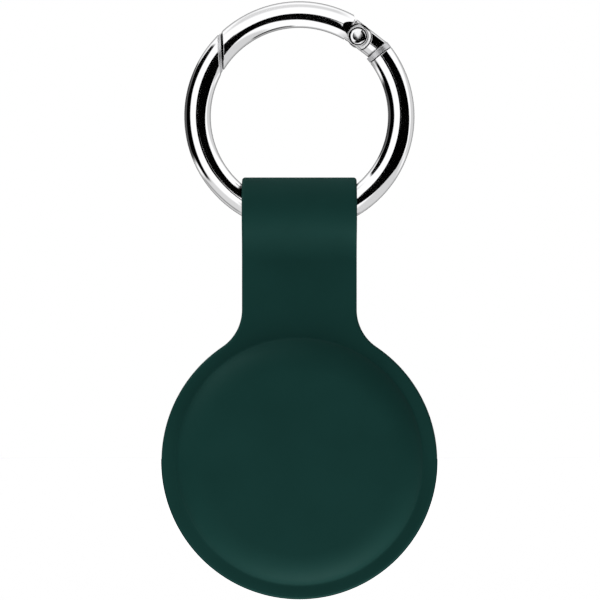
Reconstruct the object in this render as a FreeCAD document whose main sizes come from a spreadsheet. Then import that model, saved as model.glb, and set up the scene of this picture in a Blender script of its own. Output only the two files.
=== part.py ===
import FreeCAD, Part
import math
import os

import Sketcher

# Tracker tag holder: a moulded silicone sleeve with a loop, hanging on a sprung O-ring.
# Frame: origin at the centre of the ring's eye, +Z up, the front towards -Y. Millimetres, degrees.
# Angles in the ring's plane are counted from +X towards +Z.

DIMENSIONS = (
    # ring
    ("ring_outer_diameter", 33.5),
    ("wire_diameter", 3.85),
    # straight turned end of the wire at the hinge, and the collar where it starts
    ("knuckle_angle", 52.3),
    ("knuckle_inset", 0.2),
    ("knuckle_diameter", 3.35),
    ("collar_angle", 40.4),
    ("collar_width", 0.87),
    ("groove_width", 0.15),
    ("groove_depth", 0.1),
    # hinge between gate and frame
    ("rivet_angle", 53.6),
    ("rivet_inset", 0.5),
    ("end_angle", 60.0),
    ("tongue_reach", 1.46),
    ("tongue_nose_radius", 1.8),
    ("tongue_thickness", 1.2),
    ("slot_relief", 0.15),
    ("slot_side_gap", 0.08),
    ("ear_radius", 1.9),
    ("ear_gap", 0.12),
    ("ear_thickness", 0.9),
    ("spot_shift", 0.45),
    ("spot_flare", 1.2),
    ("hinge_gap", 0.15),
    ("notch_depth", 0.6),
    # rivet
    ("rivet_diameter", 1.4),
    ("rivet_ear_fit", 0.02),
    ("rivet_running_fit", 0.05),
    ("rivet_head_diameter", 2.7),
    ("rivet_head_edge", 0.2),
    ("rivet_head_crown", 0.2),
    # nose where the gate meets the frame
    ("nose_angle", 140.2),
    ("nose_lean", 93.0),
    ("nose_gap", 0.2),
    ("nose_chamfer", 0.33),
    # spring and plunger inside the gate
    ("bore_dip", 10.4),
    ("bore_diameter", 1.3),
    ("bore_depth", 7.5),
    ("plunger_length", 2.1),
    ("plunger_fit", 0.05),
    ("plunger_gap", 0.05),
    ("spring_wire", 0.22),
    ("spring_fit", 0.08),
    ("spring_end_gap", 0.03),
    ("spring_turns", 5),
    # loop of the sleeve
    ("strap_width", 16.65),
    ("loop_clearance", 0.12),
    ("loop_top_wall", 1.1),
    ("loop_side_wall", 1.55),
    ("loop_mouth_round", 0.6),
    ("neck_thickness", 4.2),
    ("neck_blend", 5.5),
    ("flare_radius", 6.5),
    ("holder_drop", 41.2),
    # pocket for the tag
    ("tag_diameter", 31.9),
    ("tag_thickness", 8.0),
    ("tag_corner", 2.6),
    ("pocket_clearance", 0.05),
    ("pocket_wall", 1.95),
    ("front_wall", 1.45),
    ("lip_thickness", 1.25),
    ("lip_flat", 0.275),
    ("rim_width", 2.05),
    ("front_shoulder", 4.75),
    ("front_crown", 0.3),
    ("back_shoulder", 3.8),
    ("edge_round", 0.45),
    ("crease_round", 0.3),
)


def shift(point, direction, distance):
    """The point that lies a distance away along a direction in the ring's plane, as expressions."""
    return (
        f"({point[0]} + ({distance}) * cos({direction}))",
        f"({point[1]} + ({distance}) * sin({direction}))",
    )


# Places in the ring's plane, worked out from the driving dimensions
EYE = ("0", "0")
RING_RADIUS = "dims.ring_outer_diameter / 2"
WIRE_RADIUS = "dims.wire_diameter / 2"
MID_RADIUS = f"({RING_RADIUS} - {WIRE_RADIUS})"
INNER_RADIUS = f"({RING_RADIUS} - dims.wire_diameter)"
RIVET_REACH = f"({MID_RADIUS} - dims.rivet_inset)"
RIVET = shift(EYE, "dims.rivet_angle", RIVET_REACH)
NOSE = shift(EYE, "dims.nose_angle", MID_RADIUS)
KNUCKLE = shift(EYE, "dims.knuckle_angle", f"{MID_RADIUS} - dims.knuckle_inset")
GROOVE_ANGLE = f"(dims.collar_angle - dims.collar_width / {MID_RADIUS} * 180 / pi)"

# How far the frame's end face stands to the left of the eye's centre, seen along the face
END_OFFSET = f"({RIVET_REACH} * sin(dims.rivet_angle - dims.end_angle) + dims.tongue_reach)"

# Places along the spring bore, counted from the rivet's axis
BORE_TURN = "dims.rivet_angle + dims.bore_dip"
PLUNGER_TIP = f"(dims.tongue_reach / cos({BORE_TURN} - dims.end_angle) + dims.plunger_gap)"
PLUNGER_END = f"({PLUNGER_TIP} + dims.plunger_length)"

# How near a point lies to a face that it is on, and a first turn that fixes an object's axis
TOUCH = 1e-3
FIRST_TURN = 45

# Points that an edge is tested at, and points on each quarter turn of the spring
EDGE_POINTS = 5
COIL_POINTS = 12

# Half thicknesses across the hinge
TONGUE_HALF = "dims.tongue_thickness / 2"
SLOT_HALF = f"({TONGUE_HALF} + dims.slot_side_gap)"
EAR_FACE = f"({SLOT_HALF} + dims.ear_thickness)"

# Loop: the tunnel is wide enough for the bent wire to turn about the tunnel's own axis
TUNNEL_REACH = "(dims.strap_width / 2 - dims.loop_mouth_round / 2)"
WIRE_AT_MOUTH = f"sqrt({INNER_RADIUS} ^ 2 - {TUNNEL_REACH} ^ 2)"
TUNNEL_Z = f"(0 - ({RING_RADIUS} + {WIRE_AT_MOUTH}) / 2)"
TUNNEL_RADIUS = f"(({RING_RADIUS} - {WIRE_AT_MOUTH}) / 2 + dims.loop_clearance)"
BARREL_RADIUS = f"({TUNNEL_RADIUS} + dims.loop_side_wall)"
BARREL_Z = f"({TUNNEL_Z} + dims.loop_top_wall - dims.loop_side_wall)"
LOOP_TOP = f"({BARREL_Z} + {BARREL_RADIUS})"

# Pocket: radii from the tag's axis, and places along Y
NECK_HALF = "dims.neck_thickness / 2"
STRAP_HALF = "dims.strap_width / 2"
POCKET_RADIUS = "(dims.tag_diameter / 2 + dims.pocket_clearance)"
POCKET_HALF = "(dims.tag_thickness / 2 + dims.pocket_clearance)"
LIP_ROUND = "dims.lip_thickness / 2"
MOUTH_RADIUS = f"({POCKET_RADIUS} - dims.tag_corner - {LIP_ROUND} - dims.lip_flat)"
DOME_RADIUS = f"({POCKET_RADIUS} + dims.pocket_wall)"
DISC_RADIUS = f"({DOME_RADIUS} + dims.rim_width)"
DISC_Z = f"({LOOP_TOP} - dims.holder_drop)"
FRONT_Y = f"({POCKET_HALF} + dims.front_wall)"
BACK_Y = f"({POCKET_HALF} + dims.lip_thickness)"


def make_sheet(document):
    """Put the driving dimensions into a spreadsheet, one named cell each."""
    sheet = document.addObject("Spreadsheet::Sheet", "dims")
    for row, (name, value) in enumerate(DIMENSIONS, start=1):
        sheet.set(f"A{row}", name)
        sheet.set(f"B{row}", str(value))
        sheet.setAlias(f"B{row}", name)
    document.recompute()


def number(document, expression):
    """The present value of an expression as a plain number."""
    value = document.dims.evalExpression(expression)
    return float(getattr(value, "Value", value))


def make(document, kind, name, **sizes):
    """Add a document object and bind each of its sizes to an expression."""
    made = document.addObject(kind, name)
    for size, expression in sizes.items():
        made.setExpression(size, expression)
    return made


def place(made, point, depth="0", turn=None):
    """Bind an object's place in the ring's plane, its depth along Y and its turn in that plane."""
    if turn is not None:
        made.Placement.Rotation = FreeCAD.Rotation(FreeCAD.Vector(0, -1, 0), FIRST_TURN)
        made.setExpression("Placement.Rotation.Angle", turn)
    made.setExpression("Placement.Base.x", point[0])
    made.setExpression("Placement.Base.y", depth)
    made.setExpression("Placement.Base.z", point[1])
    return made


def block(document, name, corner, turn, length, depth, height):
    """A box whose length follows a direction in the ring's plane, with its height to the left."""
    made = make(document, "Part::Box", name, Length=length, Width=depth, Height=height)
    return place(made, corner, f"0 - ({depth}) / 2", turn)


def hinge_disc(document, name, radius, start, depth):
    """A round disc about the rivet's axis, from a place on Y backwards."""
    made = make(document, "Part::Cylinder", name, Radius=radius, Height=depth)
    made.Placement.Rotation = FreeCAD.Rotation(FreeCAD.Vector(1, 0, 0), -90)
    return place(made, RIVET, start)


def cut(document, name, base, tools):
    """Cut a list of tools from a base."""
    joined = tools[0]
    if len(tools) > 1:
        joined = document.addObject("Part::MultiFuse", f"{name}_tools")
        joined.Shapes = tools
    made = document.addObject("Part::Cut", name)
    made.Base = base
    made.Tool = joined
    return made


def common(document, name, base, tool):
    """Keep what two solids share."""
    made = document.addObject("Part::Common", name)
    made.Base = base
    made.Tool = tool
    return made


def chamfer_face_edges(document, name, base, point, direction, size):
    """Chamfer the border of the flat face that passes through a point with a given normal."""
    document.recompute()
    spot = FreeCAD.Vector(number(document, point[0]), 0, number(document, point[1]))
    angle = math.radians(number(document, direction))
    normal = FreeCAD.Vector(math.cos(angle), 0, math.sin(angle))
    edges = []
    for face in base.Shape.Faces:
        flat = isinstance(face.Surface, Part.Plane)
        if flat and face.Surface.Axis.isParallel(normal, TOUCH):
            if abs((face.CenterOfMass - spot).dot(normal)) < TOUCH:
                edges.extend(face.OuterWire.Edges)
    width = number(document, size)
    numbers = [i for i, e in enumerate(base.Shape.Edges, start=1) if any(e.isSame(x) for x in edges)]
    made = document.addObject("Part::Chamfer", name)
    made.Base = base
    made.Edges = [(i, width, width) for i in numbers]
    return made


def arc_centre(start, end, radius, bend):
    """The centre of an arc between two points: bend 'left' or 'right', 'wide' past a half circle."""
    chord = end - start
    rise = math.sqrt(max(radius ** 2 - (chord.Length / 2) ** 2, 0))
    side = FreeCAD.Vector(-chord.y, chord.x, 0).normalize()
    if ("left" in bend) == ("wide" in bend):
        rise = -rise
    return (start + end) * 0.5 + side * rise


def draw(document, body, name, plane, path, rise=None):
    """Draw a closed, fully bound profile in a body.

    Each entry of the path is a corner and the edge to the next corner: (x, y) for a straight edge,
    (x, y, radius, bend) for an arc. The rise moves the sketch along its own second axis.
    """
    sketch = body.newObject("Sketcher::SketchObject", name)
    support = next(f for f in body.Origin.OriginFeatures if f.Role == plane)
    sketch.AttachmentSupport = [(support, "")]
    sketch.MapMode = "FlatFace"
    if rise is not None:
        sketch.setExpression("AttachmentOffset.Base.y", rise)
    corners = [FreeCAD.Vector(number(document, c[0]), number(document, c[1]), 0) for c in path]
    first_ends = []
    last_ends = []
    for index, corner in enumerate(path):
        start = corners[index]
        end = corners[(index + 1) % len(path)]
        if len(corner) == 2:
            sketch.addGeometry(Part.LineSegment(start, end))
        else:
            radius = number(document, corner[2])
            centre = arc_centre(start, end, radius, corner[3])
            ends = (start, end) if "left" in corner[3] else (end, start)
            angles = [math.atan2(p.y - centre.y, p.x - centre.x) for p in ends]
            if angles[1] < angles[0]:
                angles[1] += 2 * math.pi
            circle = Part.Circle(centre, FreeCAD.Vector(0, 0, 1), radius)
            sketch.addGeometry(Part.ArcOfCircle(circle, angles[0], angles[1]))
        turned = len(corner) == 4 and "right" in corner[3]
        first_ends.append(2 if turned else 1)
        last_ends.append(1 if turned else 2)
    for index in range(len(path)):
        after = (index + 1) % len(path)
        tie = ("Coincident", index, last_ends[index], after, first_ends[after])
        sketch.addConstraint(Sketcher.Constraint(*tie))
    for index, corner in enumerate(path):
        for kind, axis, expression in (("DistanceX", -2, corner[0]), ("DistanceY", -1, corner[1])):
            if expression == "0":
                on_axis = ("PointOnObject", index, first_ends[index], axis)
                sketch.addConstraint(Sketcher.Constraint(*on_axis))
            else:
                value = number(document, expression)
                from_origin = (kind, -1, 1, index, first_ends[index], value)
                bind(sketch, Sketcher.Constraint(*from_origin), f"{kind}_{index}", expression)
        if len(corner) == 4:
            value = number(document, corner[2])
            bind(sketch, Sketcher.Constraint("Radius", index, value), f"Radius_{index}", corner[2])
    document.recompute()
    if sketch.solve() != 0 or not sketch.FullyConstrained:
        raise RuntimeError(f"sketch {name} is not solved")
    return sketch


def bind(sketch, constraint, name, expression):
    """Add a named constraint to a sketch and bind it to an expression."""
    index = sketch.addConstraint(constraint)
    sketch.renameConstraint(index, name)
    sketch.setExpression(f"Constraints.{name}", expression)


def circle_sketch(document, body, name, plane, height, radius):
    """A full circle on a plane's second axis."""
    sketch = body.newObject("Sketcher::SketchObject", name)
    support = next(f for f in body.Origin.OriginFeatures if f.Role == plane)
    sketch.AttachmentSupport = [(support, "")]
    sketch.MapMode = "FlatFace"
    centre = FreeCAD.Vector(0, number(document, height), 0)
    sketch.addGeometry(Part.Circle(centre, FreeCAD.Vector(0, 0, 1), number(document, radius)))
    sketch.addConstraint(Sketcher.Constraint("PointOnObject", 0, 3, -2))
    from_origin = ("DistanceY", -1, 1, 0, 3, centre.y)
    bind(sketch, Sketcher.Constraint(*from_origin), "Height", height)
    bind(sketch, Sketcher.Constraint("Radius", 0, number(document, radius)), "Radius", radius)
    document.recompute()
    return sketch


def revolve(document, body, kind, name, sketch, axis):
    """A full turn of a sketch about one of its axes, added (Revolution) or cut (Groove)."""
    made = body.newObject(f"PartDesign::{kind}", name)
    made.Profile = sketch
    made.ReferenceAxis = (sketch, [axis])
    made.Angle = 360
    document.recompute()


def extrude(document, body, kind, name, sketch, length):
    """A sketch padded or pocketed by a length, half to each side of its plane."""
    made = body.newObject(f"PartDesign::{kind}", name)
    made.Profile = sketch
    made.SideType = "Symmetric"
    made.setExpression("Length", length)
    document.recompute()


def fillet(document, body, name, radius, chosen):
    """Round the edges of the body's last feature that a test chooses."""
    base = body.Tip
    edges = enumerate(base.Shape.Edges, start=1)
    names = [f"Edge{i}" for i, e in edges if not e.Degenerated and chosen(e)]
    made = body.newObject("PartDesign::Fillet", name)
    made.Base = (base, names)
    made.setExpression("Radius", radius)
    document.recompute()


def wire_ring(document, name):
    """The whole round-wire ring that frame and gate are both cut from."""
    made = make(document, "Part::Torus", name, Radius1=MID_RADIUS, Radius2=WIRE_RADIUS)
    made.Placement.Rotation = FreeCAD.Rotation(FreeCAD.Vector(1, 0, 0), 90)
    return made


def gate_bay(document, name, hinge_offset, nose_offset):
    """The space above the eye between the frame's end face and the nose, as a solid.

    Args:
        hinge_offset: how far its end stands from the frame's end face.
        nose_offset: how far its other end stands from the nose line, towards the frame.
    """
    reach = "dims.ring_outer_diameter"
    corner = shift(EYE, "dims.end_angle + 90", f"{END_OFFSET} + {hinge_offset}")
    corner = shift(corner, "dims.end_angle", "0 - dims.wire_diameter")
    depth = "2 * dims.wire_diameter"
    hinge_side = block(document, f"{name}_hinge_side", corner, "dims.end_angle",
                       f"2 * {reach}", depth, f"2 * {reach}")
    corner = shift(NOSE, "dims.nose_lean - 90", f"2 * {reach} - ({nose_offset})")
    corner = shift(corner, "dims.nose_lean", f"0 - {reach}")
    nose_side = block(document, f"{name}_nose_side", corner, "dims.nose_lean",
                      f"2 * {reach}", depth, f"2 * {reach}")
    return common(document, name, hinge_side, nose_side)


def notch_tool(document, name):
    """The V that breaks the outer contour where gate and frame part at the hinge."""
    offset = f"({END_OFFSET} + dims.hinge_gap / 2)"
    climb = f"sqrt(({RING_RADIUS}) ^ 2 - {offset} ^ 2)"
    tip = shift(EYE, "dims.end_angle + 90", offset)
    tip = shift(tip, "dims.end_angle", f"{climb} - dims.notch_depth")
    side = "dims.wire_diameter"
    return block(document, name, tip, "dims.end_angle - 45", side, "2 * dims.wire_diameter", side)


def turned_band(document, name, centre, turn, radius, width):
    """What a lathe takes off the wire over a width to leave a radius, about a place on the wire."""
    start = shift(centre, f"{turn} + 90", f"0 - ({width}) / 2")
    discs = []
    for part, size in (("outside", "dims.wire_diameter"), ("core", radius)):
        disc = make(document, "Part::Cylinder", f"{name}_{part}", Radius=size, Height=width)
        discs.append(place(disc, start, turn=turn))
    return cut(document, name, discs[0], [discs[1]])


def knuckle_tool(document):
    """What is turned off the wire's end, from the collar to the hinge, to leave it straight."""
    band = turned_band(document, "knuckle_band", KNUCKLE, "dims.knuckle_angle",
                       "dims.knuckle_diameter / 2", "4 * dims.wire_diameter")
    beyond_collar = block(document, "beyond_collar", EYE, "dims.collar_angle",
                          "dims.ring_outer_diameter", "3 * dims.wire_diameter",
                          "3 * dims.wire_diameter")
    return common(document, "knuckle_turning", band, beyond_collar)


def ring_frame(document):
    """The fixed part of the ring: a tongue and a hollow shoulder at the hinge, a slanted nose."""
    bay = gate_bay(document, "frame_bay", "0", "dims.nose_gap / 2")
    shoulder = "dims.ear_radius + dims.ear_gap"
    depth = "dims.wire_diameter"
    back_recess = hinge_disc(document, "frame_back_recess", shoulder, TONGUE_HALF, depth)
    front_recess = hinge_disc(document, "frame_front_recess", shoulder,
                              f"0 - {TONGUE_HALF} - {depth}", depth)
    hole_radius = "dims.rivet_diameter / 2 + dims.rivet_running_fit"
    hole = hinge_disc(document, "frame_rivet_hole", hole_radius, f"0 - {depth}", f"2 * {depth}")
    corner = shift(RIVET, "dims.end_angle", f"0 - {depth}")
    corner_block = block(document, "tongue_corner_block", corner, "dims.end_angle",
                         depth, f"2 * {depth}", depth)
    nose_round = hinge_disc(document, "tongue_nose_round", "dims.tongue_nose_radius",
                            f"0 - 2 * {depth}", f"4 * {depth}")
    tongue_corner = cut(document, "tongue_corner", corner_block, [nose_round])
    groove = turned_band(document, "collar_groove", shift(EYE, GROOVE_ANGLE, MID_RADIUS),
                         GROOVE_ANGLE, f"{WIRE_RADIUS} - dims.groove_depth", "dims.groove_width")
    tools = [bay, back_recess, front_recess, hole, tongue_corner, groove, knuckle_tool(document),
             notch_tool(document, "frame_notch")]
    frame = cut(document, "frame_cut", wire_ring(document, "frame_ring"), tools)
    nose_face = shift(NOSE, "dims.nose_lean + 90", "dims.nose_gap / 2")
    made = chamfer_face_edges(document, "frame_nose_chamfer", frame, nose_face,
                              "dims.nose_lean + 90", "dims.nose_chamfer")
    made.Label = "ring_frame"
    return made


def spot_face(document, name, side, tilt):
    """The flat cut round a rivet's head, which runs out in a shallow cone over the gate's wire."""
    flat = "(dims.ear_radius + dims.ear_gap)"
    made = make(document, "Part::Cone", name, Radius1=flat, Radius2=f"{flat} + dims.spot_flare",
                Height=f"{WIRE_RADIUS} - {EAR_FACE}")
    made.Placement.Rotation = FreeCAD.Rotation(FreeCAD.Vector(1, 0, 0), tilt)
    centre = shift(RIVET, "dims.rivet_angle - 90", "dims.spot_shift")
    return place(made, centre, f"{side}{EAR_FACE}")


def ring_gate(document):
    """The hinged part of the ring: two ears round the tongue, a spring bore, a slanted nose."""
    span = gate_bay(document, "gate_span", "dims.hinge_gap", "0 - dims.nose_gap / 2")
    depth = "dims.wire_diameter"
    ears = hinge_disc(document, "gate_ears", "dims.ear_radius", f"0 - {depth}", f"2 * {depth}")
    body = document.addObject("Part::MultiFuse", "gate_body")
    body.Shapes = [span, ears]
    blank = common(document, "gate_blank", wire_ring(document, "gate_ring"), body)
    slot_radius = "dims.tongue_nose_radius + dims.slot_relief"
    slot_round = hinge_disc(document, "slot_round", slot_radius, f"0 - {SLOT_HALF}",
                            f"2 * {SLOT_HALF}")
    corner = shift(EYE, "dims.end_angle + 90", f"{END_OFFSET} + dims.hinge_gap - 2 * {depth}")
    slot_end = block(document, "slot_end", corner, "dims.end_angle", "dims.ring_outer_diameter",
                     f"2 * {SLOT_HALF}", f"2 * {depth}")
    back_flat = spot_face(document, "ear_back_flat", "", -90)
    front_flat = spot_face(document, "ear_front_flat", "0 - ", 90)
    hole_radius = "dims.rivet_diameter / 2 + dims.rivet_ear_fit"
    hole = hinge_disc(document, "gate_rivet_hole", hole_radius, f"0 - {depth}", f"2 * {depth}")
    bore = make(document, "Part::Cylinder", "spring_bore", Radius="dims.bore_diameter / 2",
                Height="dims.bore_depth")
    place(bore, RIVET, turn=BORE_TURN)
    tools = [slot_round, slot_end, back_flat, front_flat, hole, bore,
             notch_tool(document, "gate_notch")]
    gate = cut(document, "gate_cut", blank, tools)
    nose_face = shift(NOSE, "dims.nose_lean - 90", "dims.nose_gap / 2")
    made = chamfer_face_edges(document, "gate_nose_chamfer", gate, nose_face,
                              "dims.nose_lean + 90", "dims.nose_chamfer")
    made.Label = "ring_gate"
    return made


def hinge_rivet(document):
    """The rivet of the hinge: a shank with a low domed head on each ear."""
    body = document.addObject("PartDesign::Body", "rivet_body")
    shank = "dims.rivet_diameter / 2"
    head = "dims.rivet_head_diameter / 2"
    brim = f"({EAR_FACE} + dims.rivet_head_edge)"
    top = f"({brim} + dims.rivet_head_crown)"
    crown = "dims.rivet_head_crown"
    dome = f"(({head}) ^ 2 + {crown} ^ 2) / (2 * {crown})"
    path = [
        ("0", f"0 - {top}", dome, "left"),
        (head, f"0 - {brim}"),
        (head, f"0 - {EAR_FACE}"),
        (shank, f"0 - {EAR_FACE}"),
        (shank, EAR_FACE),
        (head, EAR_FACE),
        (head, brim, dome, "left"),
        ("0", top),
    ]
    profile = draw(document, body, "rivet_profile", "XY_Plane", path)
    revolve(document, body, "Revolution", "rivet_turn", profile, "V_Axis")
    place(body, RIVET)
    body.Label = "hinge_rivet"
    return body


def spring_plunger(document):
    """The round-nosed pin that the spring presses on the frame's tongue."""
    body = document.addObject("PartDesign::Body", "plunger_body")
    radius = "(dims.bore_diameter / 2 - dims.plunger_fit)"
    path = [
        ("0", PLUNGER_TIP, radius, "left"),
        (radius, f"{PLUNGER_TIP} + {radius}"),
        (radius, PLUNGER_END),
        ("0", PLUNGER_END),
    ]
    profile = draw(document, body, "plunger_profile", "XZ_Plane", path)
    revolve(document, body, "Revolution", "plunger_turn", profile, "V_Axis")
    place(body, RIVET, turn=BORE_TURN)
    body.Label = "spring_plunger"
    return body


def tangent_arcs(start, start_way, end, end_way):
    """Two arcs that join two points and keep the directions given at both."""
    chord = end - start
    both = start_way + end_way
    square = 2 * (start_way.dot(end_way) - 1)
    half = chord.dot(both)
    reach = (half - math.sqrt(half ** 2 - square * chord.dot(chord))) / square
    first = start + start_way * reach
    second = end - end_way * reach
    joint = (first + second) * 0.5
    arcs = []
    for begin, corner, finish in ((start, first, joint), (joint, second, end)):
        weight = (finish - begin).Length / (2 * reach)
        middle = (begin + corner * (2 * weight) + finish) * (1 / (2 + 2 * weight))
        arcs.append(Part.Arc(begin, middle, finish).toShape())
    return arcs


def gate_spring(document):
    """The coil spring between the plunger and the end of the bore, one unbroken wire."""
    wire_radius = number(document, "dims.spring_wire / 2")
    coil_radius = number(document, "dims.bore_diameter / 2 - dims.spring_fit - dims.spring_wire / 2")
    end_gap = number(document, "dims.spring_end_gap")
    low = number(document, PLUNGER_END) + end_gap + wire_radius
    high = number(document, "dims.bore_depth") - end_gap - wire_radius
    quarters = 4 * round(number(document, "dims.spring_turns"))
    climb = (high - low) / (quarters * math.pi / 2)

    def on_coil(quarter):
        angle = quarter * math.pi / 2
        spot = FreeCAD.Vector(coil_radius * math.cos(angle), coil_radius * math.sin(angle),
                              low + climb * angle)
        way = FreeCAD.Vector(-coil_radius * math.sin(angle), coil_radius * math.cos(angle), climb)
        return spot, way.normalize()

    edges = []
    for quarter in range(quarters):
        edges.extend(tangent_arcs(*on_coil(quarter), *on_coil(quarter + 1)))
    path = Part.Wire(edges)
    start, way = on_coil(0)
    section = Part.Wire(Part.Circle(start, way, wire_radius).toShape())
    shape = path.makePipeShell([section], True, False)
    spots = path.discretize(quarters * COIL_POINTS + 1)
    half_turn = 2 * COIL_POINTS
    least = min((a - b).Length for i, a in enumerate(spots) for b in spots[i + half_turn:])
    print(f"spring: {quarters // 4} turns, least gap between turns {least - 2 * wire_radius:.2f} mm")
    made = document.addObject("Part::Feature", "spring_wire")
    made.Shape = shape
    place(made, RIVET, turn=BORE_TURN)
    made.Label = "gate_spring"
    return made


def sleeve_outline(document, body):
    """The flat of the sleeve seen from the front: neck, flare and disc, padded to the rim."""
    flare_x = f"({STRAP_HALF} + dims.flare_radius)"
    flare_reach = f"({DISC_RADIUS} + dims.flare_radius)"
    flare_rise = f"sqrt({flare_reach} ^ 2 - {flare_x} ^ 2)"
    touch_x = f"({flare_x} * {DISC_RADIUS} / {flare_reach})"
    touch_z = f"({DISC_Z} + {flare_rise} * {DISC_RADIUS} / {flare_reach})"
    flare_z = f"({DISC_Z} + {flare_rise})"
    path = [
        (f"0 - {STRAP_HALF}", BARREL_Z),
        (f"0 - {STRAP_HALF}", flare_z, "dims.flare_radius", "right"),
        (f"0 - {touch_x}", touch_z, DISC_RADIUS, "left wide"),
        (touch_x, touch_z, "dims.flare_radius", "right"),
        (STRAP_HALF, flare_z),
        (STRAP_HALF, BARREL_Z),
    ]
    profile = draw(document, body, "outline", "XZ_Plane", path)
    extrude(document, body, "Pad", "outline_pad", profile, "dims.neck_thickness")


def sleeve_dome(document, body):
    """The round swelling over the tag: a low crown and a soft shoulder in front, a flat back."""
    crown_radius = f"({DOME_RADIUS} - dims.front_shoulder)"
    crown_edge = f"({FRONT_Y} - dims.front_crown)"
    crown = f"({crown_radius} ^ 2 + dims.front_crown ^ 2) / (2 * dims.front_crown)"
    drop = f"({crown_edge} - {NECK_HALF})"
    chord = f"sqrt({drop} ^ 2 + dims.front_shoulder ^ 2)"
    slope = f"(atan({drop} / dims.front_shoulder) - 2 * atan(dims.front_crown / {crown_radius}))"
    back_drop = f"({BACK_Y} - {NECK_HALF})"
    path = [
        (f"0 - {FRONT_Y}", "0", crown, "right"),
        (f"0 - {crown_edge}", crown_radius, f"{chord} / (2 * sin({slope}))", "right"),
        (f"0 - {NECK_HALF}", DOME_RADIUS),
        (NECK_HALF, DOME_RADIUS,
         f"(dims.back_shoulder ^ 2 + {back_drop} ^ 2) / (2 * {back_drop})", "right"),
        (BACK_Y, f"{DOME_RADIUS} - dims.back_shoulder"),
        (BACK_Y, "0"),
    ]
    profile = draw(document, body, "dome", "YZ_Plane", path, DISC_Z)
    revolve(document, body, "Revolution", "dome_turn", profile, "H_Axis")


def sleeve_loop(document, body):
    """The loop at the top of the neck: a barrel that flows into the neck, and its tunnel."""
    blend_y = f"({NECK_HALF} + dims.neck_blend)"
    blend_reach = f"({BARREL_RADIUS} + dims.neck_blend)"
    blend_drop = f"sqrt({blend_reach} ^ 2 - {blend_y} ^ 2)"
    touch_y = f"({BARREL_RADIUS} * {blend_y} / {blend_reach})"
    touch_z = f"({BARREL_Z} - {BARREL_RADIUS} * {blend_drop} / {blend_reach})"
    foot_z = f"({BARREL_Z} - {blend_drop})"
    path = [
        (NECK_HALF, foot_z, "dims.neck_blend", "right"),
        (touch_y, touch_z, BARREL_RADIUS, "left wide"),
        (f"0 - {touch_y}", touch_z, "dims.neck_blend", "right"),
        (f"0 - {NECK_HALF}", foot_z),
    ]
    profile = draw(document, body, "loop_side", "YZ_Plane", path)
    extrude(document, body, "Pad", "loop_pad", profile, "dims.strap_width")
    hole = circle_sketch(document, body, "tunnel", "YZ_Plane", TUNNEL_Z, TUNNEL_RADIUS)
    extrude(document, body, "Pocket", "tunnel_pocket", hole, "2 * dims.strap_width")


def sleeve_pocket(document, body):
    """The room for the tag, with a thin round lip about the mouth at the back."""
    corner_y = f"({POCKET_HALF} - dims.tag_corner)"
    corner_r = f"({POCKET_RADIUS} - dims.tag_corner)"
    lip_r = f"({MOUTH_RADIUS} + {LIP_ROUND})"
    outside = f"({BACK_Y} + dims.lip_thickness)"
    path = [
        (f"0 - {POCKET_HALF}", "0"),
        (f"0 - {POCKET_HALF}", corner_r, "dims.tag_corner", "right"),
        (f"0 - {corner_y}", POCKET_RADIUS),
        (corner_y, POCKET_RADIUS, "dims.tag_corner", "right"),
        (POCKET_HALF, corner_r),
        (POCKET_HALF, lip_r, LIP_ROUND, "left"),
        (f"{POCKET_HALF} + {LIP_ROUND}", MOUTH_RADIUS, LIP_ROUND, "left"),
        (BACK_Y, lip_r),
        (outside, lip_r),
        (outside, "0"),
    ]
    profile = draw(document, body, "pocket", "YZ_Plane", path, DISC_Z)
    revolve(document, body, "Groove", "pocket_groove", profile, "H_Axis")


def silicone_sleeve(document):
    """The moulded sleeve: flat rim and neck, dome over the tag, loop for the ring, tag pocket."""
    body = document.addObject("PartDesign::Body", "sleeve_body")
    sleeve_outline(document, body)
    sleeve_dome(document, body)
    sleeve_loop(document, body)
    sleeve_pocket(document, body)
    strap_half = number(document, STRAP_HALF)
    neck_half = number(document, NECK_HALF)
    disc = FreeCAD.Vector(0, 0, number(document, DISC_Z))
    tunnel = FreeCAD.Vector(0, 0, number(document, TUNNEL_Z))
    tunnel_radius = number(document, TUNNEL_RADIUS)
    dome_radius = number(document, DOME_RADIUS)
    rim = number(document, "dims.rim_width")

    def points(edge):
        return edge.discretize(EDGE_POINTS)

    def at_tunnel(edge):
        return all(abs(math.hypot(p.y, p.z - tunnel.z) - tunnel_radius) < TOUCH for p in points(edge))

    def at_mouth(edge):
        return at_tunnel(edge) and all(abs(abs(p.x) - strap_half) < TOUCH for p in points(edge))

    def at_crease(edge):
        on_foot = all(abs(math.hypot(p.x, p.z - disc.z) - dome_radius) < TOUCH for p in points(edge))
        return on_foot and all(abs(abs(p.y) - neck_half) < TOUCH for p in points(edge))

    def at_border(edge):
        on_side = all(abs(abs(p.x) - strap_half) < TOUCH for p in points(edge))
        along_depth = max(p.z for p in points(edge)) - min(p.z for p in points(edge)) < TOUCH
        if on_side:
            return not at_tunnel(edge) and not along_depth
        on_face = all(abs(abs(p.y) - neck_half) < TOUCH for p in points(edge))
        beyond_dome = all((p - disc).Length > dome_radius + rim / 2 for p in points(edge))
        return on_face and beyond_dome and not along_depth

    fillet(document, body, "mouth_round", "dims.loop_mouth_round", at_mouth)
    fillet(document, body, "border_round", "dims.edge_round", at_border)
    fillet(document, body, "crease_fillet", "dims.crease_round", at_crease)
    body.Label = "silicone_sleeve"
    return body


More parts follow.
